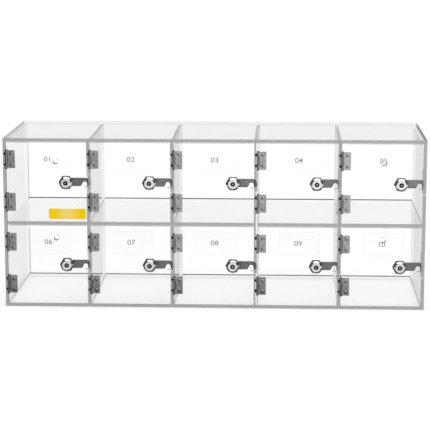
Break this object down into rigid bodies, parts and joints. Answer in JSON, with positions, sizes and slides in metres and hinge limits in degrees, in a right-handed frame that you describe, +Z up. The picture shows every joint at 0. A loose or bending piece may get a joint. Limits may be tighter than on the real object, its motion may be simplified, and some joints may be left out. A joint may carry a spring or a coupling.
{
  "type": "phone locker",
  "caption": "Clear acrylic locker for phones: two rows of compartments, each with a door on butt hinges and a turning lock whose hook cam reaches into a slot beside it.",
  "frame": {"origin": "centre of the cabinet's underside, level with the surface it stands on", "axes": "+X to the right along the front, +Y from the doors to the back panel, +Z up"},
  "size_m": [0.6, 0.204, 0.244],
  "materials": {
    "acrylic": "clear, polished, with grey cut edges",
    "hinge_steel": "dull plated steel",
    "screw_steel": "black oxide",
    "chrome": "bright plated",
    "cam_steel": "grey zinc"
  },
  "bodies": {
    "cabinet": {"top_panel": "acrylic", "bottom_panel": "acrylic", "left_panel": "acrylic", "right_panel": "acrylic", "back_panel": "acrylic", "middle_shelf": "acrylic", "dividers": "acrylic", "cabinet_hinge_leaves": "hinge_steel", "hinge_pins": "hinge_steel", "cabinet_hinge_screws": "screw_steel"},
    "door_01": {"door_panel_01": "acrylic", "door_hinges_01": "hinge_steel", "lock_housing_01": "chrome"},
    "lock_01": {"lock_plug_01": "chrome", "lock_cam_01": "cam_steel"},
    "door_02": {"door_panel_02": "acrylic", "door_hinges_02": "hinge_steel", "lock_housing_02": "chrome"},
    "lock_02": {"lock_plug_02": "chrome", "lock_cam_02": "cam_steel"},
    "door_03": {"door_panel_03": "acrylic", "door_hinges_03": "hinge_steel", "lock_housing_03": "chrome"},
    "lock_03": {"lock_plug_03": "chrome", "lock_cam_03": "cam_steel"},
    "door_04": {"door_panel_04": "acrylic", "door_hinges_04": "hinge_steel", "lock_housing_04": "chrome"},
    "lock_04": {"lock_plug_04": "chrome", "lock_cam_04": "cam_steel"},
    "door_05": {"door_panel_05": "acrylic", "door_hinges_05": "hinge_steel", "lock_housing_05": "chrome"},
    "lock_05": {"lock_plug_05": "chrome", "lock_cam_05": "cam_steel"},
    "door_06": {"door_panel_06": "acrylic", "door_hinges_06": "hinge_steel", "lock_housing_06": "chrome"},
    "lock_06": {"lock_plug_06": "chrome", "lock_cam_06": "cam_steel"},
    "door_07": {"door_panel_07": "acrylic", "door_hinges_07": "hinge_steel", "lock_housing_07": "chrome"},
    "lock_07": {"lock_plug_07": "chrome", "lock_cam_07": "cam_steel"},
    "door_08": {"door_panel_08": "acrylic", "door_hinges_08": "hinge_steel", "lock_housing_08": "chrome"},
    "lock_08": {"lock_plug_08": "chrome", "lock_cam_08": "cam_steel"},
    "door_09": {"door_panel_09": "acrylic", "door_hinges_09": "hinge_steel", "lock_housing_09": "chrome"},
    "lock_09": {"lock_plug_09": "chrome", "lock_cam_09": "cam_steel"},
    "door_10": {"door_panel_10": "acrylic", "door_hinges_10": "hinge_steel", "lock_housing_10": "chrome"},
    "lock_10": {"lock_plug_10": "chrome", "lock_cam_10": "cam_steel"}
  },
  "joints": [
    {"name": "door_01_hinge", "type": "hinge", "parent": "cabinet", "child": "door_01", "pos_m": [-0.2945, -0.1021, 0.18175], "axis": [0, 0, -1], "range_deg": [0, 175]},
    {"name": "lock_01_turn", "type": "hinge", "parent": "door_01", "child": "lock_01", "pos_m": [-0.211, -0.1, 0.18], "axis": [0, -1, 0], "range_deg": [0, 90]},
    {"name": "door_02_hinge", "type": "hinge", "parent": "cabinet", "child": "door_02", "pos_m": [-0.1755, -0.1021, 0.18175], "axis": [0, 0, -1], "range_deg": [0, 175]},
    {"name": "lock_02_turn", "type": "hinge", "parent": "door_02", "child": "lock_02", "pos_m": [-0.092, -0.1, 0.18], "axis": [0, -1, 0], "range_deg": [0, 90]},
    {"name": "door_03_hinge", "type": "hinge", "parent": "cabinet", "child": "door_03", "pos_m": [-0.0565, -0.1021, 0.18175], "axis": [0, 0, -1], "range_deg": [0, 175]},
    {"name": "lock_03_turn", "type": "hinge", "parent": "door_03", "child": "lock_03", "pos_m": [0.027, -0.1, 0.18], "axis": [0, -1, 0], "range_deg": [0, 90]},
    {"name": "door_04_hinge", "type": "hinge", "parent": "cabinet", "child": "door_04", "pos_m": [0.0625, -0.1021, 0.18175], "axis": [0, 0, -1], "range_deg": [0, 175]},
    {"name": "lock_04_turn", "type": "hinge", "parent": "door_04", "child": "lock_04", "pos_m": [0.146, -0.1, 0.18], "axis": [0, -1, 0], "range_deg": [0, 90]},
    {"name": "door_05_hinge", "type": "hinge", "parent": "cabinet", "child": "door_05", "pos_m": [0.1815, -0.1021, 0.18175], "axis": [0, 0, -1], "range_deg": [0, 175]},
    {"name": "lock_05_turn", "type": "hinge", "parent": "door_05", "child": "lock_05", "pos_m": [0.265, -0.1, 0.18], "axis": [0, -1, 0], "range_deg": [0, 90]},
    {"name": "door_06_hinge", "type": "hinge", "parent": "cabinet", "child": "door_06", "pos_m": [-0.2945, -0.1021, 0.06225], "axis": [0, 0, -1], "range_deg": [0, 175]},
    {"name": "lock_06_turn", "type": "hinge", "parent": "door_06", "child": "lock_06", "pos_m": [-0.211, -0.1, 0.0605], "axis": [0, -1, 0], "range_deg": [0, 90]},
    {"name": "door_07_hinge", "type": "hinge", "parent": "cabinet", "child": "door_07", "pos_m": [-0.1755, -0.1021, 0.06225], "axis": [0, 0, -1], "range_deg": [0, 175]},
    {"name": "lock_07_turn", "type": "hinge", "parent": "door_07", "child": "lock_07", "pos_m": [-0.092, -0.1, 0.0605], "axis": [0, -1, 0], "range_deg": [0, 90]},
    {"name": "door_08_hinge", "type": "hinge", "parent": "cabinet", "child": "door_08", "pos_m": [-0.0565, -0.1021, 0.06225], "axis": [0, 0, -1], "range_deg": [0, 175]},
    {"name": "lock_08_turn", "type": "hinge", "parent": "door_08", "child": "lock_08", "pos_m": [0.027, -0.1, 0.0605], "axis": [0, -1, 0], "range_deg": [0, 90]},
    {"name": "door_09_hinge", "type": "hinge", "parent": "cabinet", "child": "door_09", "pos_m": [0.0625, -0.1021, 0.06225], "axis": [0, 0, -1], "range_deg": [0, 175]},
    {"name": "lock_09_turn", "type": "hinge", "parent": "door_09", "child": "lock_09", "pos_m": [0.146, -0.1, 0.0605], "axis": [0, -1, 0], "range_deg": [0, 90]},
    {"name": "door_10_hinge", "type": "hinge", "parent": "cabinet", "child": "door_10", "pos_m": [0.1815, -0.1021, 0.06225], "axis": [0, 0, -1], "range_deg": [0, 175]},
    {"name": "lock_10_turn", "type": "hinge", "parent": "door_10", "child": "lock_10", "pos_m": [0.265, -0.1, 0.0605], "axis": [0, -1, 0], "range_deg": [0, 90]}
  ]
}
